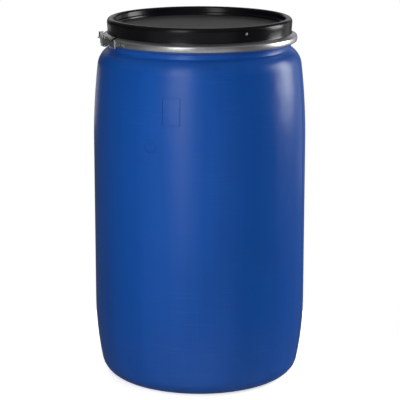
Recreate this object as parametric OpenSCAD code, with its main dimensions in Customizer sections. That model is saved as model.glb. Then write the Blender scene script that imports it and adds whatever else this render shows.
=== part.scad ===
// Plastic open head drum with a clamped lid.
// Units are millimetres, +Z is up, the origin is the centre of the ring the drum stands on.
// The closure of the clamp band faces -Y and its lever lies towards -X.

/* [Drum shell] */
// Largest outside diameter
body_d = 580; // [520:1:640]
// Wall thickness of the shell
shell_wall = 4; // [3:0.5:6]
// How far the ring the drum stands on lies inside the largest diameter
foot_inset = 70; // [62:1:90]
// Width of the ring the drum stands on
foot_ring_w = 22; // [14:1:40]
// How far the middle of the base is pushed up
base_rise = 14; // [6:1:30]
// Radius of the corner between foot and side
foot_corner_r = 54; // [40:1:64]
// Radius of the curve of the lower side
lower_curve_r = 890; // [500:10:1500]
// Radius of the curve of the upper side
upper_curve_r = 1835; // [1500:5:2200]
// Height at which the upper side starts to curve in
upper_curve_z = 655; // [600:5:700]
// Radius of the shoulder
shoulder_r = 57; // [45:1:70]
// Height of the plane on which the lid flange sits
seat_z = 941; // [920:1:970]

/* [Neck and lid] */
// How far the lid's skirt lies inside the largest diameter
lid_inset = 40; // [34:0.5:48]
// Height of the lid above its seat
lid_h = 54; // [44:1:70]
// Width of the lid's hollow rim
rim_w = 17; // [15:0.5:24]
// Wall thickness of the lid
lid_wall = 3.5; // [3:0.25:5]
// Thickness of the rim's top
rim_top_t = 4.5; // [3:0.25:7]
// Width of the flat on top of the rounded rim
rim_flat = 1.5; // [0.5:0.1:8]
// How far the rounded rim stands out over the foot of the skirt
rim_bulge = 0.9; // [0:0.1:1]
// Depth from the rim's top to the ledge around the panel
ledge_depth = 16.5; // [12:0.5:24]
// Step from the ledge down to the panel
panel_step = 6; // [2:0.5:10]
// Width of the ledge
ledge_w = 5; // [3:0.5:12]
// Draft of the rim's inner wall, measured at the ledge
rim_draft = 2; // [0:0.25:4]
// Thickness of the gasket
gasket_t = 7; // [4:0.5:9]
// Wall thickness of the neck
neck_wall = 5; // [3.5:0.25:6]
// Gap between the neck and the lid's skirt
neck_gap = 0.8; // [0.4:0.1:1.5]
// Height of the plain neck between the shoulder and the bead
neck_root_h = 13; // [8:0.5:20]

/* [Clamp band] */
// How far the lid flange and the neck bead stand out from the skirt
flange_out = 10.5; // [8:0.5:12]
// Thickness of the lid flange and of the neck bead at the edge
flange_tip = 6.9; // [5:0.1:9]
// Slope of the flanges
flange_slope = 30; // [20:1:40]
// Thickness of the band's sheet
band_t = 1.5; // [1:0.1:2]
// Gap between the band and what it clamps
band_gap = 0.35; // [0.3:0.05:0.8]
// Gap between the flange's edge and the band's flat face
face_gap = 3; // [2.6:0.1:4]
// Gap between the band's inner edges and the lid's skirt
edge_gap = 1.2; // [0.6:0.1:3]
// Gap between the band's ends when closed
band_end_gap = 14; // [6:1:24]

/* [Closure] */
// Sheet thickness of the brackets and the lever
sheet = 1.6; // [1.2:0.1:2]
// Distance of the pivot pins from the band's face
pin_out = 5; // [4.9:0.1:6]
// Diameter of the pivot pins
pin_d = 5; // [4:0.25:5.25]
// Distance along the band from the end gap to the lever's pivot
lever_pivot_s = 14; // [12:0.5:20]
// Distance between the lever's two pivots
throw = 20; // [17:0.5:24]
// Distance along the band from the end gap to the catch pin
catch_s = 33; // [28:0.5:44]
// Height of the lever
lever_h = 25.2; // [24:0.2:30]
// Length of the lever from its pivot to the tongue
lever_len = 114; // [104:1:126]
// Length of the web cut away behind the hook's pivot
web_setback = 14; // [13:0.5:20]
// Gap between the lever's web and the band's face
web_gap = 3.4; // [3.3:0.1:6]
// Depth of the lever's side flanges
lever_depth = 8.4; // [6:0.2:9]
// Radius of the flared tongue
tongue_r = 18; // [12:0.5:22]
// Turn of the flared tongue
tongue_turn = 55; // [35:1:65]
// Height of the tongue
tongue_h = 19; // [14:0.5:24]
// Height of the draw hook
hook_h = 14; // [10:0.5:15]
// Waist of the draw hook
hook_waist = 9; // [7:0.5:10]
// Play between hook and catch pin
hook_play = 0.55; // [0.5:0.05:0.65]
// How far the hook's end turns past the catch pin
hook_turn = 115; // [100:1:118]
// Distance along the band from the lever's pivot to the seal lug
lug_s = 86; // [80:1:92]
// Width of the seal lug
lug_w = 11; // [9:0.5:13]
// How far the seal lug stands out of the lever
lug_out = 6.5; // [6:0.25:9]
// Thickness of the seal lug
lug_t = 2.5; // [2:0.1:3]
// Diameter of the hole for a seal
seal_hole_d = 3.8; // [3:0.2:4]

/* [Fasteners] */
// Shank diameter of the bracket rivets
rivet_d = 4; // [3:0.25:5]
// Head diameter of the bracket rivets
rivet_head_d = 6.4; // [5.5:0.1:7]
// Height of the bracket rivets' heads
rivet_head_h = 1.3; // [0.8:0.1:1.4]
// Head diameter of the pivot rivets
pin_head_d = 8.4; // [7:0.2:10]
// Height of the pivot rivets' heads
pin_head_h = 1.7; // [1:0.1:2.5]

/* [Hidden] */
$fn = 96;

// Clearances: of a turning pin, of a fixed pin or rivet, and under a rivet's inner head
running = 0.05;
fixed = 0.02;
head_seat = 0.05;
side_gap = 0.4;
slot_gap = 2.2;

// Small step where a straight side meets a round end
ease = 0.6;

// Number of straight steps in a drawn curve
steps = 24;

// Diameters of the standing ring and of the lid's skirt
foot_d = body_d - 2 * foot_inset;
foot_in_d = foot_d - 2 * foot_ring_w;
lid_d = body_d - 2 * lid_inset;

// Radii and heights of the shell
body_r = body_d / 2;
foot_r = foot_d / 2;
skirt_r = lid_d / 2;
skirt_in_r = skirt_r - lid_wall;
rim_in_r = skirt_r - rim_w;
rim_out_r = skirt_r + rim_bulge;
rim_edge_r = (rim_out_r - rim_in_r - rim_flat) / 2;
channel_in_r = rim_in_r + lid_wall;
neck_r = skirt_in_r - neck_gap;
neck_in_r = neck_r - neck_wall;
neck_root_step = 2;
neck_root_r = neck_r + neck_root_step;
lid_top = seat_z + lid_h;
channel_top = lid_top - rim_top_t;
neck_top = channel_top - gasket_t;
bead_r = skirt_r + flange_out;
slope_rise = tan(flange_slope);
bead_root_z = seat_z - flange_tip - (bead_r - neck_root_r) * slope_rise;
shoulder_top = bead_root_z - neck_root_h;

// Centres of the curves of the side, each tangent to the next
lower_c = [body_r - lower_curve_r,
           foot_corner_r + sqrt(pow(lower_curve_r - foot_corner_r, 2) - pow(foot_r - body_r + lower_curve_r, 2))];
foot_c = [foot_r, foot_corner_r];
lower_turn = atan2(foot_c[1] - lower_c[1], foot_c[0] - lower_c[0]);
upper_c = [body_r - upper_curve_r, upper_curve_z];
reach = [neck_root_r - upper_c[0], shoulder_top - upper_c[1]];
reach_len = norm(reach);
inner_len = upper_curve_r - shoulder_r;
along = (inner_len * inner_len - shoulder_r * shoulder_r + reach_len * reach_len) / (2 * reach_len);
aside = sqrt(inner_len * inner_len - along * along);
reach_dir = reach / reach_len;
shoulder_c = upper_c + along * reach_dir + aside * [reach_dir[1], -reach_dir[0]];
upper_turn = atan2(shoulder_c[1] - upper_c[1], shoulder_c[0] - upper_c[0]);
shoulder_turn = atan2(shoulder_top - shoulder_c[1], neck_root_r - shoulder_c[0]);
shoulder_in_turn = acos((neck_in_r - shoulder_c[0]) / (shoulder_r - shell_wall));

// The band's section, measured from the seat plane
face_r = bead_r + face_gap + band_t;
edge_r = skirt_r + edge_gap;
face_h = flange_tip + (band_gap + band_t) / cos(flange_slope) - (face_r - bead_r) * slope_rise;
edge_h = face_h + (face_r - edge_r) * slope_rise;
sheet_drop = band_t / cos(flange_slope);
inner_face_h = face_h + band_t * slope_rise - sheet_drop;

// Places along the band, as angles from -Y towards +X
function turn_of(s) = s / face_r * 180 / PI;
lever_pivot_a = -turn_of(lever_pivot_s);
hook_pivot_a = lever_pivot_a - turn_of(throw);
catch_a = turn_of(band_end_gap + catch_s);
lug_a = lever_pivot_a - turn_of(lug_s);
lever_end_a = lever_pivot_a - turn_of(lever_len);
web_start_a = hook_pivot_a - turn_of(web_setback);
band_lever_end_a = 0;
band_catch_end_a = turn_of(band_end_gap);
half_turn = 180;

// Radii and heights of the closure
pin_r = pin_d / 2;
pivot_r = face_r + pin_out;
plate_r = face_r + sheet;
plate_h = 2 * face_h - side_gap;
web_r = face_r + web_gap;
web_out_r = web_r + sheet;
cheek_in_r = web_out_r - lever_depth;
knuckle_wall = 4;
knuckle_r = pin_r + knuckle_wall;
cheek_h = lever_h / 2 - sheet;
ear_h = cheek_h - side_gap;
ear_in_h = ear_h - sheet;
eye_r = pin_r + running + 0.85 * sheet;
hook_in_r = pivot_r + pin_r + running;
hook_out_r = hook_in_r + sheet;
catch_r = hook_in_r - pin_r - hook_play;
bend_r = hook_in_r - catch_r;
waist_cut_r = 20;
lug_end_r = web_out_r + lug_out;
seal_hole_r = seal_hole_d / 2;
edge_margin = 1.5;
seal_hole_at = lug_end_r - lug_w / 2 + edge_margin;
lug_plate_half = lug_w / 2 + rivet_head_d + edge_margin;
lug_rivet_s = lug_w / 2 + rivet_head_d / 2 + ease;
ear_wall = 3;
ear_half = pin_r + ear_wall;
stud_foot_r = pin_out - sheet - side_gap;
lever_rivet_s = 7;
lever_plate_half = lever_rivet_s + rivet_head_d / 2 + side_gap;
catch_plate_back = ear_half + edge_margin;
catch_rivet_near = 14;
catch_rivet_far = 26;
catch_plate_front = catch_rivet_far + rivet_head_d;

// Colours for the views
blue = [0.10, 0.24, 0.55];
black = [0.06, 0.06, 0.07];
rubber = [0.2, 0.2, 0.2];
zinc = [0.72, 0.73, 0.75];
bright = [0.84, 0.85, 0.87];

// Points of an arc about a centre
function arc(c, r, a0, a1, n) =
    [for (i = [0 : n]) let (a = a0 + (a1 - a0) * i / n) c + r * [cos(a), sin(a)]];

// Places its children at an angle along the band, at a radius, on the seat plane
module at_band(a, r) {
    rotate([0, 0, a]) translate([0, -r, seat_z]) children();
}

// A curved strip around the drum's axis, between two angles from -Y
module strip(a0, a1, r0, r1, h) {
    translate([0, 0, seat_z - h / 2])
        rotate([0, 0, a0 - 90])
            rotate_extrude(angle = a1 - a0, $fn = 360)
                translate([r0, 0]) square([r1 - r0, h]);
}

// A low domed rivet head standing on z = 0
module dome(d, h) {
    rotate_extrude()
        polygon([[0, 0], [d / 2, 0], [d / 2, h * 0.35], [d / 2 * 0.86, h * 0.72], [d / 2 * 0.6, h * 0.93], [0, h]]);
}

// A rivet through a plate on the band, its axis along the drum's radius
module plate_rivet(a) {
    shank = sheet + band_t + head_seat;
    at_band(a, plate_r) rotate([90, 0, 0]) {
        dome(rivet_head_d, rivet_head_h);
        translate([0, 0, -shank]) cylinder(d = rivet_d, h = shank);
        translate([0, 0, -shank]) mirror([0, 0, 1]) cylinder(d = rivet_head_d, h = rivet_head_h * 0.7);
    }
}

// The hole for such a rivet
module plate_hole(a) {
    at_band(a, face_r) rotate([90, 0, 0])
        translate([0, 0, -3 * band_t]) cylinder(r = rivet_d / 2 + fixed, h = 3 * band_t + 3 * sheet);
}

// Blow-moulded shell: pushed-up base, curved side, shoulder, bead and neck
module drum_shell() {
    color(blue)
        rotate_extrude($fn = 360)
            polygon(concat(
                [[0, base_rise], [foot_in_d / 2 - 2 * base_rise, base_rise], [foot_in_d / 2, 0]],
                arc(foot_c, foot_corner_r, -90, lower_turn, steps),
                arc(lower_c, lower_curve_r, lower_turn + 0.4, 0, steps),
                arc(upper_c, upper_curve_r, 0, upper_turn, steps),
                arc(shoulder_c, shoulder_r, upper_turn + 2, shoulder_turn, steps),
                [[neck_root_r, bead_root_z], [bead_r, seat_z - flange_tip], [bead_r, seat_z], [neck_r, seat_z],
                 [neck_r, neck_top], [neck_in_r, neck_top]],
                arc(shoulder_c, shoulder_r - shell_wall, shoulder_in_turn, upper_turn + 2, steps),
                arc(upper_c, upper_curve_r - shell_wall, upper_turn, 0, steps),
                arc(lower_c, lower_curve_r - shell_wall, 0, lower_turn + 0.4, steps),
                arc(foot_c, foot_corner_r - shell_wall, lower_turn, -90, steps),
                [[foot_in_d / 2 + shell_wall, shell_wall],
                 [foot_in_d / 2 - 2 * base_rise + shell_wall, base_rise + shell_wall], [0, base_rise + shell_wall]]));
}

// Lid with a hollow rim over the neck, a flange for the band and a sunk panel
module lid() {
    ledge_z = lid_top - ledge_depth;
    panel_z = ledge_z - panel_step;
    ledge_r = rim_in_r - rim_draft;
    panel_r = ledge_r - ledge_w;
    color(black)
        rotate_extrude($fn = 360)
            polygon(concat(
                [[skirt_in_r, seat_z], [bead_r, seat_z], [bead_r, seat_z + flange_tip],
                 [skirt_r, seat_z + flange_tip + flange_out * slope_rise]],
                arc([rim_out_r - rim_edge_r, lid_top - rim_edge_r], rim_edge_r, 0, 90, 10),
                arc([rim_in_r + rim_edge_r, lid_top - rim_edge_r], rim_edge_r, 90, 180, 10),
                [[ledge_r, ledge_z], [panel_r, ledge_z], [panel_r - 1, panel_z], [0, panel_z],
                 [0, panel_z - lid_wall], [panel_r + lid_wall - 1, panel_z - lid_wall],
                 [panel_r + lid_wall, ledge_z - lid_wall], [ledge_r + lid_wall, ledge_z - lid_wall],
                 [channel_in_r, channel_top], [skirt_in_r, channel_top]]));
}

// Gasket between the neck's top edge and the lid's rim
module lid_gasket() {
    color(rubber)
        translate([0, 0, neck_top])
            rotate_extrude($fn = 360)
                translate([channel_in_r + band_gap, 0])
                    square([skirt_in_r - channel_in_r - 2 * band_gap, gasket_t]);
}

// Section of the clamp band
module band_section() {
    polygon([[face_r, -face_h], [face_r, face_h], [edge_r, edge_h], [edge_r, edge_h - sheet_drop],
             [face_r - band_t, inner_face_h], [face_r - band_t, -inner_face_h],
             [edge_r, sheet_drop - edge_h], [edge_r, -edge_h]]);
}

// A stretch of the clamp band between two angles from -Y
module band_stretch(a0, a1) {
    translate([0, 0, seat_z])
        rotate([0, 0, a0 - 90])
            rotate_extrude(angle = a1 - a0, $fn = 360) band_section();
}

// Half of the clamp band that carries the lever
module band_lever_half() {
    color(zinc) difference() {
        band_stretch(-half_turn, band_lever_end_a);
        for (s = [-lever_rivet_s, lever_rivet_s]) plate_hole(lever_pivot_a + turn_of(s));
        for (s = [-lug_rivet_s, lug_rivet_s]) plate_hole(lug_a + turn_of(s));
    }
}

// Half of the clamp band that carries the catch
module band_catch_half() {
    color(zinc) difference() {
        band_stretch(band_catch_end_a, half_turn);
        for (s = [catch_rivet_near, catch_rivet_far]) plate_hole(catch_a + turn_of(s));
    }
}

// A pair of ears with holes for a pin, standing out of the band at an angle
module ears(a, r, hole_r) {
    for (side = [-1, 1])
        at_band(a, r) translate([0, 0, side * (ear_in_h + sheet / 2) - sheet / 2])
            difference() {
                union() {
                    cylinder(r = ear_half, h = sheet);
                    translate([ease - ear_half, 0, 0]) cube([2 * (ear_half - ease), r - face_r - sheet / 4, sheet]);
                }
                translate([0, 0, -sheet]) cylinder(r = hole_r, h = 3 * sheet);
            }
}

// A plate on the band from s0 to s1 beside an angle, full height only where its ears stand
module eared_plate(a, s0, s1) {
    cut_h = ear_h - plate_h / 2;
    tab_half = ear_half - 2;
    difference() {
        strip(a + turn_of(s0), a + turn_of(s1), face_r, plate_r, 2 * ear_h);
        for (side = [-1, 1])
            at_band(a, face_r) translate([0, 0, side * (plate_h / 2 + cut_h)]) {
                translate([tab_half, -3 * sheet, -cut_h]) cube([s1, 6 * sheet, 2 * cut_h]);
                translate([s0 - tab_half, -3 * sheet, -cut_h]) cube([-s0, 6 * sheet, 2 * cut_h]);
            }
    }
}

// Bracket that carries the lever
module lever_bracket() {
    color(zinc) difference() {
        union() {
            eared_plate(lever_pivot_a, -lever_plate_half, lever_plate_half);
            ears(lever_pivot_a, pivot_r, pin_r + fixed);
        }
        for (s = [-lever_rivet_s, lever_rivet_s]) plate_hole(lever_pivot_a + turn_of(s));
    }
}

// Rivets that hold the lever's bracket on the band
module lever_bracket_rivets() {
    color(bright) for (s = [-lever_rivet_s, lever_rivet_s]) plate_rivet(lever_pivot_a + turn_of(s));
}

// Two studs, one through each ear, that the lever turns on
module lever_pivot_studs() {
    flush = 0.7;
    color(bright) for (side = [0, 1])
        at_band(lever_pivot_a, pivot_r) mirror([0, 0, side]) {
            translate([0, 0, ear_in_h - flush]) cylinder(r = stud_foot_r, h = flush);
            translate([0, 0, ear_in_h]) cylinder(r = pin_r, h = lever_h / 2 + running * 2 - ear_in_h);
            translate([0, 0, lever_h / 2 + running * 2]) dome(pin_head_d, pin_head_h);
        }
}

// Plan of a cheek: round about both pivots, then slim along the band
module cheek_plan() {
    lever_c = pivot_r * [sin(lever_pivot_a), -cos(lever_pivot_a)];
    hook_c = pivot_r * [sin(hook_pivot_a), -cos(hook_pivot_a)];
    back_r = web_out_r - sheet / 4;
    knuckle_end_a = hook_pivot_a - turn_of(knuckle_r + 1) - 90;
    polygon(concat(
        arc([0, 0], cheek_in_r, lever_end_a - 90, lever_pivot_a - 90, steps),
        arc(lever_c, knuckle_r, lever_pivot_a + 60, lever_pivot_a - 90, steps),
        arc(hook_c, knuckle_r, hook_pivot_a - 90, hook_pivot_a - 170, steps),
        arc([0, 0], back_r, knuckle_end_a, lever_end_a - 90, steps)));
}

// Plan of the web: along the band, then flared outwards as a tongue
module web_plan() {
    start_a = web_start_a - 90;
    tongue_a = lever_end_a - turn_of(3) - 90;
    tongue_c = (web_out_r + tongue_r) * [cos(tongue_a), sin(tongue_a)];
    back_a = tongue_a + half_turn;
    first_step = 4;
    polygon(concat(
        arc([0, 0], web_out_r, start_a, tongue_a, steps),
        arc(tongue_c, tongue_r, back_a + first_step, back_a + tongue_turn, steps),
        arc(tongue_c, tongue_r + sheet, back_a + tongue_turn, back_a + first_step, steps),
        arc([0, 0], web_r, tongue_a, start_a, steps)));
}

// Lever: two cheeks joined by a web that ends in a flared tongue
module lever() {
    trim_h = (lever_h - tongue_h) / 2;
    trim_s = 4 * tongue_r;
    color(zinc) difference() {
        union() {
            for (z = [-lever_h / 2, lever_h / 2 - sheet])
                translate([0, 0, seat_z + z]) linear_extrude(sheet) cheek_plan();
            translate([0, 0, seat_z - lever_h / 2]) linear_extrude(lever_h) web_plan();
        }
        for (side = [-1, 1])
            at_band(lever_end_a, web_r) translate([-trim_s, -2 * tongue_r, side * lever_h / 2 - trim_h])
                cube([trim_s, 3 * tongue_r, 2 * trim_h]);
        at_band(lever_pivot_a, pivot_r) cylinder(r = pin_r + running, h = 2 * lever_h, center = true);
        at_band(hook_pivot_a, pivot_r) cylinder(r = pin_r + fixed, h = 2 * lever_h, center = true);
        at_band(lug_a, web_r + sheet / 2)
            cube([lug_w + 2 * slot_gap, 4 * sheet, lug_t + slot_gap], center = true);
    }
}

// Rivet through the lever and the hook's eye
module hook_rivet() {
    color(bright) at_band(hook_pivot_a, pivot_r) {
        cylinder(r = pin_r, h = lever_h, center = true);
        for (side = [0, 1]) mirror([0, 0, side]) translate([0, 0, lever_h / 2]) dome(pin_head_d, pin_head_h);
    }
}

// Bushes that keep the hook in the middle of the lever
module hook_spacers() {
    bush_h = cheek_h - hook_h / 2 - running * 2;
    color(zinc) for (side = [0, 1])
        at_band(hook_pivot_a, pivot_r) mirror([0, 0, side])
            translate([0, 0, cheek_h - bush_h]) difference() {
                cylinder(r = eye_r - 0.2, h = bush_h);
                translate([0, 0, -bush_h]) cylinder(r = pin_r + fixed, h = 3 * bush_h);
            }
}

// Plan of the strap: along the band, then round the catch pin
module hook_plan() {
    bend_a = catch_a + turn_of(hook_play) - 90;
    start_a = hook_pivot_a - 90;
    bend_c = catch_r * [cos(bend_a), sin(bend_a)];
    first_step = 6;
    polygon(concat(
        arc([0, 0], hook_out_r, start_a, bend_a, steps),
        arc(bend_c, bend_r + sheet, bend_a + first_step, bend_a + hook_turn, steps),
        arc(bend_c, bend_r, bend_a + hook_turn, bend_a + first_step, steps),
        arc([0, 0], hook_in_r, bend_a, start_a, steps)));
}

// Strap with a rolled eye at the lever and a bent end over the catch pin
module draw_hook() {
    color(zinc) difference() {
        union() {
            translate([0, 0, seat_z - hook_h / 2]) linear_extrude(hook_h) hook_plan();
            at_band(hook_pivot_a, pivot_r) cylinder(r = eye_r, h = hook_h, center = true);
        }
        at_band(hook_pivot_a, pivot_r) cylinder(r = pin_r + running, h = 2 * hook_h, center = true);
        for (side = [-1, 1])
            at_band((lever_pivot_a + catch_a) / 2 + turn_of(6), hook_in_r)
                translate([0, 0, side * (hook_waist / 2 + waist_cut_r)])
                    rotate([90, 0, 0]) cylinder(r = waist_cut_r, h = 8 * sheet, center = true);
    }
}

// Bracket with two ears that hold the catch pin
module catch_bracket() {
    color(zinc) difference() {
        union() {
            eared_plate(catch_a, -catch_plate_back, catch_plate_front);
            ears(catch_a, catch_r, pin_r + fixed);
        }
        for (s = [catch_rivet_near, catch_rivet_far]) plate_hole(catch_a + turn_of(s));
    }
}

// Rivets that hold the catch bracket on the band
module catch_bracket_rivets() {
    color(bright) for (s = [catch_rivet_near, catch_rivet_far]) plate_rivet(catch_a + turn_of(s));
}

// Pin that the hook pulls on
module catch_pin() {
    color(bright) at_band(catch_a, catch_r) {
        cylinder(r = pin_r, h = 2 * ear_h, center = true);
        for (side = [0, 1]) mirror([0, 0, side]) translate([0, 0, ear_h]) dome(pin_head_d * 0.9, pin_head_h * 0.8);
    }
}

// Lug that stands through a slot in the lever and takes a seal
module seal_lug() {
    tip_at = lug_end_r - lug_w / 2;
    color(zinc) difference() {
        union() {
            strip(lug_a - turn_of(lug_plate_half), lug_a + turn_of(lug_plate_half), face_r, plate_r, plate_h);
            at_band(lug_a, tip_at) {
                cylinder(d = lug_w, h = lug_t, center = true);
                translate([-lug_w / 2, 0, -lug_t / 2]) cube([lug_w, tip_at - face_r - sheet / 2, lug_t]);
            }
        }
        at_band(lug_a, seal_hole_at) cylinder(r = seal_hole_r, h = 3 * lug_t, center = true);
        for (s = [-lug_rivet_s, lug_rivet_s]) plate_hole(lug_a + turn_of(s));
    }
}

// Rivets that hold the seal lug on the band
module seal_lug_rivets() {
    color(bright) for (s = [-lug_rivet_s, lug_rivet_s]) plate_rivet(lug_a + turn_of(s));
}

drum_shell();
lid();
lid_gasket();
band_lever_half();
band_catch_half();
lever_bracket();
lever_bracket_rivets();
lever_pivot_studs();
lever();
hook_rivet();
hook_spacers();
draw_hook();
catch_bracket();
catch_bracket_rivets();
catch_pin();
seal_lug();
seal_lug_rivets();
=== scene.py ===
import math

import bpy
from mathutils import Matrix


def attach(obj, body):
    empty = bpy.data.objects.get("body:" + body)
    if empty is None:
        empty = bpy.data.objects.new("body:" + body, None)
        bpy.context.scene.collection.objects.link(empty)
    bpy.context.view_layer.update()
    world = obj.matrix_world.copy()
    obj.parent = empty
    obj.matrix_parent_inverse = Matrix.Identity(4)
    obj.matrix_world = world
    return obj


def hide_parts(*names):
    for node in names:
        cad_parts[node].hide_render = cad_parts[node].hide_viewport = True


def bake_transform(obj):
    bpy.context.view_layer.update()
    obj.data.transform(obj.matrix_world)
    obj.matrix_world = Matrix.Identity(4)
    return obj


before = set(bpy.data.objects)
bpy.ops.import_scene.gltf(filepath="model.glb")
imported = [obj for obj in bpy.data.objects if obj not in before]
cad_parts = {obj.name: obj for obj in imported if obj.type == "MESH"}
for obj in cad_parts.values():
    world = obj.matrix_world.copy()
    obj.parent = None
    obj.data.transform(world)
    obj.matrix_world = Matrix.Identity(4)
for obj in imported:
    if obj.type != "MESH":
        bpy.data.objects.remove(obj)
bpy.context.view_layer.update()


# Drum shell
# One blow-moulded piece of blue polyethylene: a pushed-up base, a rounded side, a shoulder, a bead
# that the clamp band grips from below, and a plain neck that the lid goes over.
mm = 0.001
body_radius = 290 * mm
shell_wall = 4 * mm
foot_radius = 220 * mm
foot_inner_radius = 198 * mm
foot_corner = 54 * mm
base_rise = 14 * mm
base_slope = 2 * base_rise
base_bend = 10 * mm
inner_base_bend = 8 * mm
lower_curve = 890 * mm
upper_curve = 1835 * mm
upper_curve_z = 655 * mm
shoulder_curve = 57 * mm
shoulder_blend = 8
seat_z = 941 * mm
skirt_radius = 250 * mm
neck_radius = 245.7 * mm
neck_wall = 5 * mm
neck_top = 980.5 * mm
neck_edge_round = 1.6 * mm
neck_seat_round = 1.5 * mm
inner_neck_round = 4 * mm
neck_root_radius = 247.7 * mm
neck_root_height = 13 * mm
neck_root_round = 5 * mm
bead_radius = 260.5 * mm
bead_tip = 6.9 * mm
bead_slope = math.tan(math.radians(30))
bead_root_round = 4 * mm
bead_round = 1.6 * mm
bead_seat_round = 1.2 * mm
shell_steps = 160
bead_root_z = seat_z - bead_tip - (bead_radius - neck_root_radius) * bead_slope
shoulder_top = bead_root_z - neck_root_height


def arc_points(centre, radius, first, last, count):
    points = []
    for index in range(count + 1):
        angle = math.radians(first + (last - first) * index / count)
        points.append((centre[0] + radius * math.cos(angle), centre[1] + radius * math.sin(angle)))
    return points


def soften(corners, count=4):
    # Each corner is (radius from the axis, height, rounding, steps); the ends stay sharp.
    points = [corners[0][:2]]
    for before, corner, after in zip(corners, corners[1:], corners[2:]):
        rounding = corner[2] if len(corner) > 2 else 0
        steps = corner[3] if len(corner) > 3 else count
        if rounding == 0:
            points.append(corner[:2])
            continue
        arms = []
        for other in (before, after):
            length = math.hypot(other[0] - corner[0], other[1] - corner[1])
            arms.append(((other[0] - corner[0]) / length, (other[1] - corner[1]) / length))
        opening = math.acos(arms[0][0] * arms[1][0] + arms[0][1] * arms[1][1])
        setback = rounding / math.tan(opening / 2)
        first = [corner[axis] + arms[0][axis] * setback for axis in (0, 1)]
        last = [corner[axis] + arms[1][axis] * setback for axis in (0, 1)]
        reach = rounding / math.sin(opening / 2)
        middle = [arms[0][axis] + arms[1][axis] for axis in (0, 1)]
        stretch = reach / math.hypot(*middle)
        centre = [corner[axis] + middle[axis] * stretch for axis in (0, 1)]
        start = math.degrees(math.atan2(first[1] - centre[1], first[0] - centre[0]))
        turn = math.degrees(math.atan2(last[1] - centre[1], last[0] - centre[0])) - start
        turn = (turn + 180) % 360 - 180
        points.extend(arc_points(centre, rounding, start, start + turn, steps))
    points.append(corners[-1][:2])
    return points


def draw_section(name, points):
    bpy.ops.object.select_all(action="DESELECT")
    bpy.ops.mesh.primitive_plane_add(size=mm, location=(0, 0, 0))
    piece = bpy.context.object
    piece.name = name
    bpy.ops.object.mode_set(mode="EDIT")
    bpy.ops.mesh.select_mode(type="VERT")
    bpy.ops.mesh.select_all(action="SELECT")
    bpy.ops.mesh.merge(type="CENTER")
    bpy.ops.transform.translate(value=(points[0][0], 0, points[0][1]))
    for before, after in zip(points, points[1:]):
        step = (after[0] - before[0], 0, after[1] - before[1])
        bpy.ops.mesh.extrude_region_move(TRANSFORM_OT_translate={"value": step})
    bpy.ops.object.mode_set(mode="OBJECT")
    return piece


def turn_section(piece, angle, steps):
    weld_gap = 0.01 * mm
    bpy.ops.object.mode_set(mode="EDIT")
    bpy.ops.mesh.select_all(action="SELECT")
    bpy.ops.mesh.spin(steps=steps, angle=math.radians(angle), center=(0, 0, 0), axis=(0, 0, 1))
    bpy.ops.mesh.select_all(action="SELECT")
    bpy.ops.mesh.remove_doubles(threshold=weld_gap)
    bpy.ops.mesh.normals_make_consistent(inside=False)
    bpy.ops.object.mode_set(mode="OBJECT")


def smooth_faces(piece, angle=35):
    bpy.ops.object.select_all(action="DESELECT")
    piece.select_set(True)
    bpy.context.view_layer.objects.active = piece
    bpy.ops.object.shade_smooth_by_angle(angle=math.radians(angle))


def direction(start, end):
    return math.degrees(math.atan2(end[1] - start[1], end[0] - start[0]))


# The side is straight at the largest diameter, with a long arc below and above; the corner at the foot
# and the shoulder are smaller arcs that touch these.
foot_centre = (foot_radius, foot_corner)
lower_run = foot_radius - body_radius + lower_curve
lower_rise = math.sqrt((lower_curve - foot_corner) ** 2 - lower_run ** 2)
lower_centre = (body_radius - lower_curve, foot_corner + lower_rise)
lower_turn = direction(lower_centre, foot_centre)
upper_centre = (body_radius - upper_curve, upper_curve_z)
reach_r = neck_root_radius - upper_centre[0]
reach_z = shoulder_top - upper_centre[1]
reach_length = math.hypot(reach_r, reach_z)
inner_length = upper_curve - shoulder_curve
along = (inner_length ** 2 - shoulder_curve ** 2 + reach_length ** 2) / (2 * reach_length)
aside = math.sqrt(inner_length ** 2 - along ** 2)
shoulder_centre = (upper_centre[0] + (along * reach_r + aside * reach_z) / reach_length,
                   upper_centre[1] + (along * reach_z - aside * reach_r) / reach_length)
upper_turn = direction(upper_centre, shoulder_centre)
shoulder_end = direction(shoulder_centre, (neck_root_radius, shoulder_top)) - shoulder_blend
neck_inner_radius = neck_radius - neck_wall
inner_shoulder = shoulder_curve - shell_wall
inner_turn = math.degrees(math.acos((neck_inner_radius - shoulder_centre[0]) / inner_shoulder))
inner_shoulder_z = shoulder_centre[1] + inner_shoulder * math.sin(math.radians(inner_turn))
inner_start = inner_turn - shoulder_blend

outer_side = (arc_points(foot_centre, foot_corner, -90, lower_turn, 16)
              + arc_points(lower_centre, lower_curve, lower_turn, 0, 22)[1:]
              + arc_points(upper_centre, upper_curve, 0, upper_turn, 26)[1:]
              + arc_points(shoulder_centre, shoulder_curve, upper_turn, shoulder_end, 14)[1:])
inner_side = (arc_points(shoulder_centre, inner_shoulder, inner_start, upper_turn, 10)
              + arc_points(upper_centre, upper_curve - shell_wall, upper_turn, 0, 20)[1:]
              + arc_points(lower_centre, lower_curve - shell_wall, 0, lower_turn, 16)[1:]
              + arc_points(foot_centre, foot_corner - shell_wall, lower_turn, -90, 10)[1:])
under_base = soften([(0, base_rise), (foot_inner_radius - base_slope, base_rise, base_bend),
                     (foot_inner_radius, 0, base_bend), (foot_radius, 0)])
neck_line = soften([outer_side[-1], (neck_root_radius, shoulder_top, neck_root_round),
                    (neck_root_radius, bead_root_z, bead_root_round),
                    (bead_radius, seat_z - bead_tip, bead_round), (bead_radius, seat_z, bead_seat_round),
                    (neck_radius, seat_z, neck_seat_round), (neck_radius, neck_top, neck_edge_round),
                    (neck_inner_radius, neck_top, neck_edge_round),
                    (neck_inner_radius, inner_shoulder_z, inner_neck_round), inner_side[0]])
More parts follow.
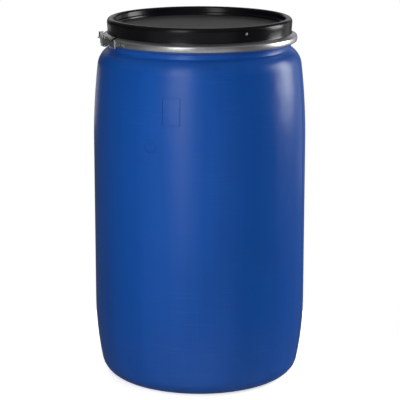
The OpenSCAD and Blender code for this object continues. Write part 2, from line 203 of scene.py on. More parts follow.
inner_base = soften([inner_side[-1], (foot_inner_radius + shell_wall, shell_wall, inner_base_bend),
                     (foot_inner_radius - base_slope + shell_wall, base_rise + shell_wall, inner_base_bend),
                     (0, base_rise + shell_wall)])
shell_line = under_base[:-1] + outer_side[:-1] + neck_line[:-1] + inner_side[:-1] + inner_base
drum_shell = draw_section("blue_drum_shell", shell_line)
turn_section(drum_shell, 360, shell_steps)
smooth_faces(drum_shell)


# Blank field on the shell
# A thin raised frame with round corners around a place that is left bare. It is cut into the mould,
# so it is one with the blue wall.
field_bearing = 50.6
field_height = 781.5 * mm
field_width = 52 * mm
field_length = 78 * mm
field_corner = 6 * mm
field_frame = 4.8 * mm
field_proud = 2.4 * mm
field_edge = 1.0 * mm


def apply_modifier(piece, kind, **settings):
    bpy.context.view_layer.objects.active = piece
    modifier = piece.modifiers.new(kind.title(), kind)
    for key, value in settings.items():
        setattr(modifier, key, value)
    bpy.ops.object.modifier_apply(modifier=modifier.name)


def round_edges(piece, width, segments, sharper_than, **settings):
    apply_modifier(piece, "BEVEL", width=width, segments=segments, limit_method="ANGLE",
                   angle_limit=math.radians(sharper_than), **settings)


def lay_on_shell(piece, bearing, height, raise_by, edge):
    # The flat piece is pressed against the shell at a bearing from -Y, then gets its thickness.
    sink = 0.3 * mm
    stand_off = 40 * mm
    place = math.radians(bearing)
    out = body_radius + stand_off
    piece.location = (out * math.sin(place), -out * math.cos(place), height)
    piece.rotation_euler = (math.radians(90), 0, place)
    bpy.context.view_layer.update()
    apply_modifier(piece, "SHRINKWRAP", target=drum_shell, wrap_method="PROJECT", use_project_z=True,
                   use_negative_direction=True, use_positive_direction=False, offset=-sink)
    bpy.ops.object.select_all(action="DESELECT")
    piece.select_set(True)
    bpy.ops.object.transform_apply(location=True, rotation=True, scale=True)
    apply_modifier(piece, "SOLIDIFY", thickness=raise_by + sink, offset=1)
    round_edges(piece, edge, 2, 50)
    smooth_faces(piece, 50)


bpy.ops.object.select_all(action="DESELECT")
bpy.ops.mesh.primitive_plane_add(size=1, location=(0, 0, 0))
blank_field = bpy.context.object
blank_field.name = "shell_blank_field"
blank_field.scale = (field_width, field_length, 1)
bpy.ops.object.transform_apply(location=False, rotation=False, scale=True)
bpy.ops.object.mode_set(mode="EDIT")
bpy.ops.mesh.select_all(action="SELECT")
bpy.ops.mesh.bevel(offset=field_corner, segments=5, affect="VERTICES")
bpy.ops.mesh.select_all(action="SELECT")
bpy.ops.mesh.inset(thickness=field_frame, depth=0)
bpy.ops.mesh.delete(type="FACE")
bpy.ops.mesh.select_all(action="SELECT")
bpy.ops.mesh.subdivide(number_cuts=5)
bpy.ops.object.mode_set(mode="OBJECT")
lay_on_shell(blank_field, field_bearing, field_height, field_proud, field_edge)


# Tick ring on the shell
# A small round insert in the mould leaves a raised ring with plain ticks on the blue wall. It is one
# with the wall, like the frame above it.
ring_bearing = 39.6
ring_height = 685 * mm
ring_radius = 18 * mm
ring_line = 2.2 * mm
ring_proud = 1.4 * mm
ring_edge = 0.35 * mm
tick_count = 12
tick_width = 1.8 * mm
tick_stretch = 2.4
tick_reach = 11.4 * mm
bpy.ops.object.select_all(action="DESELECT")
bpy.ops.mesh.primitive_circle_add(vertices=64, radius=ring_radius, fill_type="NGON", location=(0, 0, 0))
tick_ring = bpy.context.object
tick_ring.name = "shell_tick_ring"
bpy.ops.object.mode_set(mode="EDIT")
bpy.ops.mesh.select_all(action="SELECT")
bpy.ops.mesh.inset(thickness=ring_line, depth=0)
bpy.ops.mesh.delete(type="FACE")
for index in range(tick_count):
    turn = 2 * math.pi * index / tick_count
    bpy.ops.mesh.select_all(action="DESELECT")
    bpy.ops.mesh.primitive_plane_add(size=tick_width, location=(0, 0, 0))
    bpy.ops.transform.resize(value=(1, tick_stretch, 1))
    bpy.ops.transform.translate(value=(0, tick_reach, 0))
    bpy.ops.transform.rotate(value=turn, orient_axis="Z", center_override=(0, 0, 0))
bpy.ops.object.mode_set(mode="OBJECT")
lay_on_shell(tick_ring, ring_bearing, ring_height, ring_proud, ring_edge)


# Parting lines and pinch-off seam
# The two mould halves leave a fine ridge down opposite sides of the blue wall. Where they pinch the
# hot tube shut, a welded seam is left across the base.
parting_bearing = field_bearing + 90
ridge_width = 1.4 * mm
ridge_depth = 0.8 * mm
ridge_edge = 0.2 * mm
ridge_start = 3
seam_length = 310 * mm
seam_width = 6 * mm
seam_depth = 3 * mm
seam_edge = 1.2 * mm
ridges = []
for bearing in (parting_bearing, parting_bearing + 180):
    ridge = draw_section("shell_parting_line", outer_side[ridge_start:])
    bpy.ops.object.mode_set(mode="EDIT")
    bpy.ops.mesh.select_all(action="SELECT")
    bpy.ops.transform.translate(value=(0, -ridge_width / 2, 0))
    bpy.ops.mesh.extrude_region_move(TRANSFORM_OT_translate={"value": (0, ridge_width, 0)})
    bpy.ops.mesh.select_all(action="SELECT")
    bpy.ops.mesh.normals_make_consistent(inside=False)
    bpy.ops.object.mode_set(mode="OBJECT")
    ridge.rotation_euler = (0, 0, math.radians(bearing - 90))
    bpy.ops.object.transform_apply(location=False, rotation=True, scale=False)
    apply_modifier(ridge, "SOLIDIFY", thickness=ridge_depth, offset=0)
    round_edges(ridge, ridge_edge, 1, 50)
    smooth_faces(ridge, 50)
    ridges.append(ridge)
bpy.ops.object.select_all(action="DESELECT")
bpy.ops.mesh.primitive_cube_add(size=1, location=(0, 0, base_rise))
base_seam = bpy.context.object
base_seam.name = "shell_base_seam"
base_seam.scale = (seam_length, seam_width, seam_depth)
base_seam.rotation_euler = (0, 0, math.radians(parting_bearing - 90))
bpy.ops.object.transform_apply(location=True, rotation=True, scale=True)
apply_modifier(base_seam, "BEVEL", width=seam_edge, segments=3)
smooth_faces(base_seam, 50)


# Blue polyethylene of the shell
# Coloured through; the sand-blasted mould leaves a fine orange peel, the blown wall faint upright
# streaks, and handling a few pale level scuffs and a little dust near the floor.
shell_blue = (0.005, 0.073, 0.350, 1)
shell_blue_deep = (0.004, 0.055, 0.275, 1)
scuff_blue = (0.035, 0.130, 0.420, 1)
dust_blue = (0.030, 0.085, 0.270, 1)
dust_height = 70 * mm


def new_finish(name, metallic=0.0, gloss=0.5):
    finish = bpy.data.materials.new(name)
    finish.use_nodes = True
    nodes = finish.node_tree.nodes
    shader = nodes["Principled BSDF"]
    shader.inputs["Metallic"].default_value = metallic
    shader.inputs["Specular IOR Level"].default_value = gloss
    coordinates = nodes.new("ShaderNodeTexCoord")
    return finish, nodes, finish.node_tree.links, shader, coordinates.outputs["Object"]


def stretched(nodes, links, source, scale):
    mapping = nodes.new("ShaderNodeMapping")
    mapping.inputs["Scale"].default_value = scale
    links.new(source, mapping.inputs["Vector"])
    return mapping.outputs["Vector"]


def noise(nodes, links, source, scale, detail=2.0, roughness=0.5):
    texture = nodes.new("ShaderNodeTexNoise")
    texture.inputs["Scale"].default_value = scale
    texture.inputs["Detail"].default_value = detail
    texture.inputs["Roughness"].default_value = roughness
    links.new(source, texture.inputs["Vector"])
    return texture.outputs["Fac"]


def spread(nodes, links, source, low, high, new_low, new_high):
    ranging = nodes.new("ShaderNodeMapRange")
    ranging.inputs["From Min"].default_value = low
    ranging.inputs["From Max"].default_value = high
    ranging.inputs["To Min"].default_value = new_low
    ranging.inputs["To Max"].default_value = new_high
    links.new(source, ranging.inputs["Value"])
    return ranging.outputs["Result"]


def mix_colours(nodes, links, amount, first, second):
    mixing = nodes.new("ShaderNodeMix")
    mixing.data_type = "RGBA"
    links.new(amount, mixing.inputs[0])
    for socket, colour in ((mixing.inputs[6], first), (mixing.inputs[7], second)):
        if isinstance(colour, tuple):
            socket.default_value = colour
        else:
            links.new(colour, socket)
    return mixing.outputs[2]


def calculate(nodes, links, operation, first, second):
    sum_node = nodes.new("ShaderNodeMath")
    sum_node.operation = operation
    for socket, value in ((sum_node.inputs[0], first), (sum_node.inputs[1], second)):
        if isinstance(value, (int, float)):
            socket.default_value = value
        else:
            links.new(value, socket)
    return sum_node.outputs[0]


def bump(nodes, links, shader, height, strength, distance):
    relief = nodes.new("ShaderNodeBump")
    relief.inputs["Strength"].default_value = strength
    relief.inputs["Distance"].default_value = distance
    links.new(height, relief.inputs["Height"])
    links.new(relief.outputs["Normal"], shader.inputs["Normal"])


def split_axes(nodes, links, source):
    axes = nodes.new("ShaderNodeSeparateXYZ")
    links.new(source, axes.inputs["Vector"])
    return axes.outputs


def give_finish(piece, finish):
    piece.data.materials.clear()
    piece.data.materials.append(finish)


def join_onto(piece, details):
    bpy.ops.object.select_all(action="DESELECT")
    for part in details + [piece]:
        part.select_set(True)
    bpy.context.view_layer.objects.active = piece
    bpy.ops.object.join()


blue_plastic, nodes, links, shader, place = new_finish("blue_polyethylene", gloss=0.38)
clouds = noise(nodes, links, place, scale=3.0, detail=3.0)
streaks = noise(nodes, links, stretched(nodes, links, place, (26, 26, 1.4)), scale=1.0)
peel = noise(nodes, links, place, scale=320.0)
die_lines = noise(nodes, links, stretched(nodes, links, place, (210, 210, 1.6)), scale=1.0)
scratches = noise(nodes, links, stretched(nodes, links, place, (7, 7, 620)), 1.0, detail=3.0, roughness=0.6)
patches = noise(nodes, links, place, scale=7.0, detail=3.0)
scuffs = calculate(nodes, links, "MULTIPLY", spread(nodes, links, scratches, 0.60, 0.70, 0, 1),
                   spread(nodes, links, patches, 0.44, 0.62, 0, 0.6))
low_down = spread(nodes, links, split_axes(nodes, links, place)["Z"], 0.0, dust_height, 0.45, 0)
dust = calculate(nodes, links, "MULTIPLY", low_down, spread(nodes, links, patches, 0.3, 0.7, 0.3, 1))
lines = calculate(nodes, links, "ADD", streaks, calculate(nodes, links, "MULTIPLY", die_lines, 0.5))
mottle = spread(nodes, links, calculate(nodes, links, "MULTIPLY", clouds, lines), 0.15, 0.75, 0, 1)
tint = mix_colours(nodes, links, mottle, shell_blue, shell_blue_deep)
tint = mix_colours(nodes, links, scuffs, tint, scuff_blue)
tint = mix_colours(nodes, links, dust, tint, dust_blue)
links.new(tint, shader.inputs["Base Color"])
sheen = calculate(nodes, links, "ADD", spread(nodes, links, streaks, 0.3, 0.7, 0.28, 0.31),
                  calculate(nodes, links, "MULTIPLY", scuffs, 0.3))
links.new(sheen, shader.inputs["Roughness"])
ripple = noise(nodes, links, place, scale=9.0)
relief = calculate(nodes, links, "ADD", calculate(nodes, links, "MULTIPLY", ripple, 2.0),
                   calculate(nodes, links, "MULTIPLY", peel, 0.12))
bump(nodes, links, shader, relief, 1.0, 1 * mm)

shell_details = [blank_field, tick_ring, base_seam] + ridges
for piece in [drum_shell] + shell_details:
    give_finish(piece, blue_plastic)
join_onto(drum_shell, shell_details)
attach(drum_shell, "drum")
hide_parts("drum_shell")


# Lid
# One injection-moulded cap of black polyethylene: a hollow rim that goes over the neck, a flange
# that the clamp band grips from above, a ledge and a sunk flat panel.
lid_top = 995 * mm
lid_wall = 3.5 * mm
rim_width = 17 * mm
rim_bulge = 1.4 * mm
rim_round = 10.2 * mm
rim_inner_round = 7.4 * mm
rim_steps = 10
skirt_waist = 1.1 * mm
skirt_turn_z = lid_top - 15 * mm
skirt_sweep = 120 * mm
skirt_foot_round = 6 * mm
flange_round = 1.6 * mm
flange_edge_round = 0.8 * mm
skirt_edge_round = 0.6 * mm
inside_round = 1 * mm
ledge_z = lid_top - 16.5 * mm
ledge_round = 2.2 * mm
ledge_edge_round = 1.6 * mm
panel_z = ledge_z - 6 * mm
panel_corner_round = 2.0 * mm
rim_inner_radius = skirt_radius - rim_width
ledge_radius = rim_inner_radius - 2 * mm
panel_radius = ledge_radius - 5 * mm
panel_foot_radius = panel_radius - 1 * mm
skirt_inner_radius = skirt_radius - lid_wall
channel_inner_radius = rim_inner_radius + lid_wall
channel_top = lid_top - 4.5 * mm
flange_top = seat_z + bead_tip
skirt_foot_z = flange_top + (bead_radius - skirt_radius) * bead_slope
gate_radius = 5 * mm
gate_rise = 0.6 * mm
gate_round = 0.4 * mm
lid_steps = 192
lid_line = soften([(0, panel_z + gate_rise), (gate_radius, panel_z + gate_rise, gate_round),
                   (gate_radius + gate_rise, panel_z), (panel_foot_radius, panel_z, panel_corner_round),
                   (panel_radius, ledge_z, ledge_edge_round), (ledge_radius, ledge_z, ledge_round),
                   (rim_inner_radius, lid_top, rim_inner_round, rim_steps),
                   (skirt_radius + rim_bulge, lid_top, rim_round, rim_steps),
                   (skirt_radius + 0.6 * rim_bulge, skirt_turn_z, skirt_sweep),
                   (skirt_radius - skirt_waist, skirt_foot_z, skirt_foot_round),
                   (bead_radius, flange_top, flange_round), (bead_radius, seat_z, flange_edge_round),
                   (skirt_inner_radius, seat_z, skirt_edge_round),
                   (skirt_inner_radius, channel_top, inside_round),
                   (channel_inner_radius, channel_top, inside_round),
                   (ledge_radius + lid_wall, ledge_z - lid_wall, inside_round),
                   (panel_radius + lid_wall, ledge_z - lid_wall, inside_round),
                   (panel_foot_radius + lid_wall, panel_z - lid_wall, inside_round),
                   (0, panel_z - lid_wall)])
lid = draw_section("black_lid", lid_line)
turn_section(lid, 360, lid_steps)
smooth_faces(lid)


# Pips on the lid
# Two small domes of the same black plastic, moulded on the skirt about fifteen degrees apart. Their tops
# carry a painted glint of pale grey, most on the one that stands out more.
pip_size = 4 * mm
pip_cut = -1 * mm
pip_radius = skirt_radius + rim_bulge / 2
pips = []
for bearing, height, proud in ((80.1, 978 * mm, 0.23), (94.9, 977.5 * mm, 0.70)):
    place = math.radians(bearing)
    bpy.ops.object.select_all(action="DESELECT")
    bpy.ops.mesh.primitive_uv_sphere_add(segments=20, ring_count=12, radius=pip_size, location=(0, 0, 0))
    pip = bpy.context.object
    pip.name = "lid_pip"
    bpy.ops.object.mode_set(mode="EDIT")
    bpy.ops.mesh.select_all(action="SELECT")
    bpy.ops.mesh.bisect(plane_co=(0, 0, pip_cut), plane_no=(0, 0, 1), clear_inner=True, use_fill=True)
    bpy.ops.mesh.select_all(action="SELECT")
    bpy.ops.transform.resize(value=(1, 1, proud), center_override=(0, 0, 0))
    bpy.ops.object.mode_set(mode="OBJECT")
    pip.location = (pip_radius * math.sin(place), -pip_radius * math.cos(place), height)
    pip.rotation_euler = (math.radians(90), 0, place)
    bpy.ops.object.transform_apply(location=True, rotation=True, scale=True)
    smooth_faces(pip, 40)
    pips.append(pip)


# Black polyethylene of the lid
# Coloured through. The skirt comes satin from a polished mould, with faint turned marks, and the
# panel comes grained and dull. The panel's grey is partly that grain and partly painted sheen for the
# light it catches at a low angle.
lid_black = (0.0022, 0.0022, 0.0034, 1)
lid_black_worn = (0.0042, 0.0042, 0.0056, 1)
# Painted sheen: the panel's grey is partly its dull grain and partly painted light it reflects at a low
# angle.
panel_grain_and_sheen_grey = (0.034, 0.034, 0.037, 1)
panel_grain_and_sheen_pale = (0.056, 0.056, 0.058, 1)
# Painted glint: the pale grey on the pip tops stands in for a highlight on them.
painted_glint_grey = (0.26, 0.26, 0.26, 1)
grain_full_radius = 221.5 * mm
grain_end_radius = 224 * mm
painted_glint_z = 965 * mm
painted_glint_full_z = 968 * mm
painted_glint_radius = 251.5 * mm
painted_glint_full_radius = 253 * mm


def axis_distance(nodes, links, axes):
    flat_place = nodes.new("ShaderNodeCombineXYZ")
    links.new(axes["X"], flat_place.inputs["X"])
    links.new(axes["Y"], flat_place.inputs["Y"])
    from_axis = nodes.new("ShaderNodeVectorMath")
    from_axis.operation = "LENGTH"
    links.new(flat_place.outputs["Vector"], from_axis.inputs[0])
    return from_axis.outputs["Value"]


black_plastic, nodes, links, shader, place = new_finish("black_polyethylene", gloss=0.3)
axes = split_axes(nodes, links, place)
from_axis = axis_distance(nodes, links, axes)
on_panel = spread(nodes, links, from_axis, grain_full_radius, grain_end_radius, 1, 0)
clouds = noise(nodes, links, place, scale=9.0, detail=4.0)
fine_grain = noise(nodes, links, place, scale=700.0)
turned = nodes.new("ShaderNodeCombineXYZ")
links.new(from_axis, turned.inputs["X"])
links.new(axes["Z"], turned.inputs["Z"])
turned_marks = noise(nodes, links, turned.outputs["Vector"], scale=900.0, detail=3.0)
wear = spread(nodes, links, clouds, 0.35, 0.75, 0, 1)
tint = mix_colours(nodes, links, wear, lid_black, lid_black_worn)
cloudy = calculate(nodes, links, "ADD", calculate(nodes, links, "MULTIPLY", clouds, 0.6),
                   calculate(nodes, links, "MULTIPLY", fine_grain, 0.4))
cloudy = spread(nodes, links, cloudy, 0.35, 0.65, 0, 1)
# The panel's grain-and-painted-sheen grey is laid over the black here.
panel_grain_and_sheen_tint = mix_colours(nodes, links, cloudy, panel_grain_and_sheen_grey, panel_grain_and_sheen_pale)
tint = mix_colours(nodes, links, on_panel, tint, panel_grain_and_sheen_tint)
# Painted glint mask: only the pip tops stand out past this radius above the flange, and they are painted
# pale grey as a highlight.
above_flange = spread(nodes, links, axes["Z"], painted_glint_z, painted_glint_full_z, 0, 1)
painted_glint = calculate(nodes, links, "MULTIPLY", above_flange,
                   spread(nodes, links, from_axis, painted_glint_radius, painted_glint_full_radius, 0, 1))
links.new(mix_colours(nodes, links, painted_glint, tint, painted_glint_grey), shader.inputs["Base Color"])
satin = spread(nodes, links, turned_marks, 0.3, 0.7, 0.20, 0.24)
dull = calculate(nodes, links, "MULTIPLY", on_panel, 0.28)
links.new(calculate(nodes, links, "ADD", satin, dull), shader.inputs["Roughness"])
grain_depth = spread(nodes, links, on_panel, 0, 1, 0.25, 1)
grain_height = calculate(nodes, links, "MULTIPLY", fine_grain, grain_depth)
bump(nodes, links, shader, grain_height, 0.2, 0.3 * mm)

for piece in [lid] + pips:
    give_finish(piece, black_plastic)
join_onto(lid, pips)
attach(lid, "lid")
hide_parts("lid")


# Lid gasket
# A ring of dark foam rubber, foamed into the hollow rim, that the neck's top edge presses into.
# Its cells leave a dull, finely pitted face.
gasket_grey = (0.022, 0.022, 0.022, 1)
gasket_pale = (0.045, 0.045, 0.044, 1)
foam, nodes, links, shader, place = new_finish("foam_rubber")
cells = nodes.new("ShaderNodeTexVoronoi")
cells.inputs["Scale"].default_value = 900.0
links.new(place, cells.inputs["Vector"])
foam_clouds = noise(nodes, links, place, scale=60.0, detail=3.0)
links.new(mix_colours(nodes, links, foam_clouds, gasket_grey, gasket_pale), shader.inputs["Base Color"])
links.new(spread(nodes, links, cells.outputs["Distance"], 0, 0.6, 0.95, 0.75), shader.inputs["Roughness"])
bump(nodes, links, shader, cells.outputs["Distance"], 0.35, 0.3 * mm)
give_finish(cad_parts["lid_gasket"], foam)


# Clamp band
# One open hoop roll-formed from galvanised strip: a slightly crowned face, and two sloping legs that
# draw the lid's flange and the neck's bead together. It springs open at the closure and bends behind.
band_sheet = 1.5 * mm
band_face_radius = 265 * mm
band_lip_radius = 251.2 * mm
band_corner_height = 6.9 * mm
band_lip_height = 14.4 * mm
band_crown = 0.7 * mm
band_crown_round = 30 * mm
band_top_round = 4.6 * mm
band_bottom_round = 3.4 * mm
band_edge = 0.4 * mm
band_gap_angle = 3.03
band_steps = 200
band_corner_radius = band_face_radius - band_crown
band_line = soften([(band_lip_radius, seat_z + band_lip_height),
                    (band_corner_radius, seat_z + band_corner_height, band_top_round),
                    (band_face_radius, seat_z, band_crown_round),
                    (band_corner_radius, seat_z - band_corner_height, band_bottom_round),
                    (band_lip_radius, seat_z - band_lip_height)], 6)
band = draw_section("clamp_band", band_line)
turn_section(band, 360 - band_gap_angle, band_steps)
bpy.ops.object.select_all(action="DESELECT")
band.select_set(True)
bpy.context.view_layer.objects.active = band
band.rotation_euler = (0, 0, math.radians(band_gap_angle - 90))
bpy.ops.object.transform_apply(location=False, rotation=True, scale=False)
apply_modifier(band, "SOLIDIFY", thickness=band_sheet, offset=-1)
round_edges(band, band_edge, 2, 60)
smooth_faces(band, 40)

# The zinc has a soft spangle, and fine rolling lines that run round the hoop.
strip_grey = (0.62, 0.63, 0.64, 1)
strip_pale = (0.74, 0.75, 0.76, 1)
line_stretch = 0.012
galvanised, nodes, links, shader, place = new_finish("galvanised_strip", metallic=0.96)
axes = split_axes(nodes, links, place)
around = calculate(nodes, links, "ARCTAN2", axes["Y"], axes["X"])
rolled = nodes.new("ShaderNodeCombineXYZ")
links.new(calculate(nodes, links, "MULTIPLY", around, line_stretch), rolled.inputs["X"])
links.new(axis_distance(nodes, links, axes), rolled.inputs["Y"])
links.new(axes["Z"], rolled.inputs["Z"])
rolling_lines = noise(nodes, links, rolled.outputs["Vector"], scale=1500.0, detail=3.0)
spangle = nodes.new("ShaderNodeTexVoronoi")
spangle.inputs["Scale"].default_value = 220.0
links.new(place, spangle.inputs["Vector"])
spangle_colour = nodes.new("ShaderNodeSeparateColor")
links.new(spangle.outputs["Color"], spangle_colour.inputs["Color"])
spangle_tone = spangle_colour.outputs["Red"]
shade = calculate(nodes, links, "MULTIPLY", spangle_tone, noise(nodes, links, place, 25.0, detail=3.0))
links.new(mix_colours(nodes, links, shade, strip_pale, strip_grey), shader.inputs["Base Color"])
rough = calculate(nodes, links, "ADD", spread(nodes, links, rolling_lines, 0.3, 0.7, 0.28, 0.31),
                  calculate(nodes, links, "MULTIPLY", spangle_tone, 0.03))
links.new(rough, shader.inputs["Roughness"])
bump(nodes, links, shader, rolling_lines, 0.025, 0.1 * mm)
give_finish(band, galvanised)
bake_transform(band)
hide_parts("band_lever_half", "band_catch_half")


# Brackets, lever, draw hook, spacers and seal lug
# Pressed from zinc-plated sheet, with their cut edges broken; they are riveted to the band or hinged
# on the rivets. Each is a copy of the CAD solid with its edges rounded.
zinc_grey = (0.50, 0.51, 0.52, 1)
zinc_pale = (0.66, 0.67, 0.68, 1)
pressed_edge = 0.3 * mm
zinc_plate, nodes, links, shader, place = new_finish("zinc_plate", metallic=1.0)
cloud = noise(nodes, links, place, scale=60.0, detail=4.0)
press_lines = noise(nodes, links, stretched(nodes, links, place, (200, 200, 1600)), 1.0, detail=3.0)
links.new(mix_colours(nodes, links, cloud, zinc_pale, zinc_grey), shader.inputs["Base Color"])
rough = calculate(nodes, links, "ADD", spread(nodes, links, cloud, 0.3, 0.7, 0.22, 0.34),
                  spread(nodes, links, press_lines, 0.3, 0.7, 0, 0.08))
links.new(rough, shader.inputs["Roughness"])
bump(nodes, links, shader, press_lines, 0.10, 0.1 * mm)


def dress_solid(node, body, finish, edge):
    # A copy of the CAD solid, welded, with its sharp edges rounded.
    weld_gap = 0.002 * mm
    flat_angle = math.radians(0.2)
    bpy.ops.object.select_all(action="DESELECT")
    bpy.ops.mesh.primitive_plane_add(size=mm, location=(0, 0, 0))
    piece = bpy.context.object
    piece.name = node + "_dressed"
    piece.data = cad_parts[node].data.copy()
    bpy.ops.object.mode_set(mode="EDIT")
    bpy.ops.mesh.select_all(action="SELECT")
    bpy.ops.mesh.remove_doubles(threshold=weld_gap)
    bpy.ops.mesh.dissolve_limited(angle_limit=flat_angle)
    bpy.ops.object.mode_set(mode="OBJECT")
    round_edges(piece, edge, 2, 40, miter_outer="MITER_ARC")
    smooth_faces(piece, 40)
    apply_modifier(piece, "WEIGHTED_NORMAL", weight=80, keep_sharp=True)
    give_finish(piece, finish)
    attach(piece, body)
    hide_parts(node)


for node, body in (("lever_bracket", "band"), ("catch_bracket", "band_catch_end"), ("seal_lug", "band"),
                   ("lever", "lever"), ("draw_hook", "draw_hook"), ("hook_spacers", "lever")):
    dress_solid(node, body, zinc_plate, pressed_edge)


# Rivets, studs and pins
# Headed from bright zinc-plated wire. They hold the pressings on the band or let them turn, and the
# heading tool leaves their low domes smooth.
rivet_grey = (0.60, 0.61, 0.62, 1)
rivet_pale = (0.76, 0.77, 0.78, 1)
headed_edge = 0.15 * mm
bright_wire, nodes, links, shader, place = new_finish("bright_rivet", metallic=1.0)
cloud = noise(nodes, links, place, scale=180.0, detail=3.0)
links.new(mix_colours(nodes, links, cloud, rivet_pale, rivet_grey), shader.inputs["Base Color"])
links.new(spread(nodes, links, cloud, 0.3, 0.7, 0.18, 0.30), shader.inputs["Roughness"])
bump(nodes, links, shader, noise(nodes, links, place, scale=1400.0), 0.06, 0.1 * mm)
for node, body in (("lever_bracket_rivets", "band"), ("seal_lug_rivets", "band"),
                   ("lever_pivot_studs", "band"), ("catch_bracket_rivets", "band_catch_end"),
                   ("catch_pin", "band_catch_end"), ("hook_rivet", "lever")):
    dress_solid(node, body, bright_wire, headed_edge)


# Floor
# A round of plain pale studio floor under the drum. It glows white to the camera and keeps a soft
# shadow by the foot.
floor_radius = 0.65
floor_grey = (0.8, 0.8, 0.8, 1)
glow_start = 0.33
glow_full = 0.62
glow_at_foot = 0.66
bpy.ops.object.select_all(action="DESELECT")
bpy.ops.mesh.primitive_circle_add(vertices=96, radius=floor_radius, fill_type="NGON", location=(0, 0, 0))
floor = bpy.context.object
floor.name = "studio_floor"
floor_finish, nodes, links, shader, place = new_finish("studio_floor", gloss=0.1)
shader.inputs["Base Color"].default_value = floor_grey
shader.inputs["Roughness"].default_value = 0.9
path = nodes.new("ShaderNodeLightPath")
from_drum = nodes.new("ShaderNodeVectorMath")
from_drum.operation = "LENGTH"
links.new(place, from_drum.inputs[0])
to_camera = spread(nodes, links, from_drum.outputs["Value"], glow_start, glow_full, glow_at_foot, 1.0)
glow = nodes.new("ShaderNodeEmission")
glow.inputs["Color"].default_value = (1, 1, 1, 1)
glow_level = calculate(nodes, links, "MULTIPLY", path.outputs["Is Camera Ray"], to_camera)
links.new(glow_level, glow.inputs["Strength"])
lit_floor = nodes.new("ShaderNodeAddShader")
links.new(shader.outputs["BSDF"], lit_floor.inputs[0])
links.new(glow.outputs["Emission"], lit_floor.inputs[1])
links.new(lit_floor.outputs["Shader"], nodes["Material Output"].inputs["Surface"])
give_finish(floor, floor_finish)
floor.visible_glossy = False


# World
# White to the camera. Reflections see a dim grey room with a lit patch of floor in front of the drum,
# a pale ceiling, and a strip of white backdrop behind it.
camera_bearing = 66
camera_place = math.radians(camera_bearing)
patch_place = math.radians(camera_bearing - 12)
backdrop_level = 0.7
patch_level = 0.37
room_level = 0.09
ceiling_level = 0.14
world = bpy.data.worlds.new("studio")
bpy.context.scene.world = world
world.use_nodes = True
nodes = world.node_tree.nodes
links = world.node_tree.links
room = nodes["Background"]
room.inputs["Color"].default_value = (1, 1, 1, 1)
path = nodes.new("ShaderNodeLightPath")
ray = nodes.new("ShaderNodeTexCoord").outputs["Generated"]
rise = split_axes(nodes, links, ray)["Z"]


def facing(nodes, links, ray, way):
    dot = nodes.new("ShaderNodeVectorMath")
    dot.operation = "DOT_PRODUCT"
    links.new(ray, dot.inputs[0])
    dot.inputs[1].default_value = way
    return dot.outputs["Value"]


behind = facing(nodes, links, ray, (-math.sin(camera_place), math.cos(camera_place), 0))
backdrop = calculate(nodes, links, "MULTIPLY", spread(nodes, links, behind, 0.84, 0.96, 0, backdrop_level),
                     spread(nodes, links, rise, 0.30, 0.45, 1, 0))
backdrop = calculate(nodes, links, "MULTIPLY", backdrop, spread(nodes, links, rise, 0.10, 0.17, 0.25, 1))
before = facing(nodes, links, ray, (math.sin(patch_place), -math.cos(patch_place), 0))
lit_patch = spread(nodes, links, before, 0.45, 0.72, room_level, patch_level)
lower_room = calculate(nodes, links, "MULTIPLY", lit_patch, spread(nodes, links, rise, -0.12, -0.02, 1, 0.4))
ceiling = spread(nodes, links, rise, 0.3, 0.9, 0, ceiling_level)
reflected = calculate(nodes, links, "MAXIMUM", backdrop, calculate(nodes, links, "ADD", lower_room, ceiling))
seen = calculate(nodes, links, "MAXIMUM", path.outputs["Is Glossy Ray"], path.outputs["Is Transmission Ray"])
unseen = calculate(nodes, links, "SUBTRACT", 1, seen)
ambient = spread(nodes, links, rise, 0.3, 0.95, 0.04, 0.12)
level = calculate(nodes, links, "ADD", calculate(nodes, links, "MULTIPLY", reflected, seen),
                  calculate(nodes, links, "MULTIPLY", ambient, unseen))
links.new(calculate(nodes, links, "MAXIMUM", level, path.outputs["Is Camera Ray"]), room.inputs["Strength"])


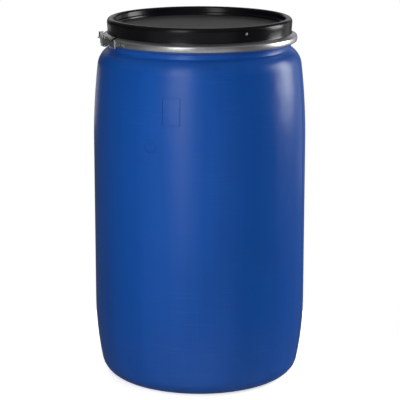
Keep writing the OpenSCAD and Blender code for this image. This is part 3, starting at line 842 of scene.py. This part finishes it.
# Studio lamps
# A tall soft box on each side of the drum, small ones for the closure and the right edge, and washes
# that fill the shade. Bearings are in degrees from the camera, sizes in metres, powers in watts.
def soft_box(name, bearing, distance, height, width, tall, power, aim_z):
    bpy.ops.object.select_all(action="DESELECT")
    place = math.radians(camera_bearing + bearing)
    bpy.ops.object.light_add(type="AREA", location=(distance * math.sin(place),
                                                    -distance * math.cos(place), height))
    lamp = bpy.context.object
    lamp.name = name
    lamp.data.shape = "RECTANGLE"
    lamp.data.size = width
    lamp.data.size_y = tall
    lamp.data.energy = power
    drop = math.atan2(height - aim_z, distance)
    lamp.rotation_euler = (math.radians(90) - drop, 0, place)
    lamp.visible_camera = False
    return lamp


soft_box("soft_box_left", -24, 2.2, height=1.6, width=0.75, tall=2.0, power=6.8, aim_z=0.9)
soft_box("soft_box_left_top", -24, 2.2, height=2.4, width=0.75, tall=2.0, power=8.0, aim_z=0.9)
soft_box("soft_box_right", 105.5, 2.6, height=1.35, width=1.1, tall=1.6, power=38, aim_z=0.9)
soft_box("closure_light", -150, 2.2, height=0.5, width=0.5, tall=0.3, power=0.35, aim_z=0.9)
soft_box("edge_light_right", 135, 2.6, height=0.75, width=0.8, tall=1.5, power=1.3, aim_z=0.7)
washes = [soft_box("front_wash", -19, 2.2, height=0.9, width=0.6, tall=1.6, power=16, aim_z=0.6),
          soft_box("front_fill", -15, 1.3, height=0.8, width=0.4, tall=1.2, power=5.5, aim_z=0.65),
          soft_box("side_wash", 107, 2.6, height=1.0, width=0.9, tall=1.9, power=48, aim_z=0.7),
          soft_box("back_fill", -158, 2.8, height=1.8, width=1.2, tall=1.6, power=22, aim_z=0.7)]
for wash in washes:
    wash.visible_glossy = False


# Camera
# The photo's viewpoint: a long lens at some distance, a little above the drum and looking down on
# its lid.
camera_distance = 4.8
camera_height = 1.5955
camera_drop = 13.016
bpy.ops.object.camera_add(location=(camera_distance * math.sin(camera_place),
                                    -camera_distance * math.cos(camera_place), camera_height))
camera = bpy.context.object
camera.rotation_euler = (math.radians(90 - camera_drop), 0, camera_place)
camera.data.sensor_width = 36
camera.data.lens = 160
camera.data.shift_x = 0.0009
bpy.context.scene.camera = camera
bpy.context.scene.view_settings.view_transform = "Standard"
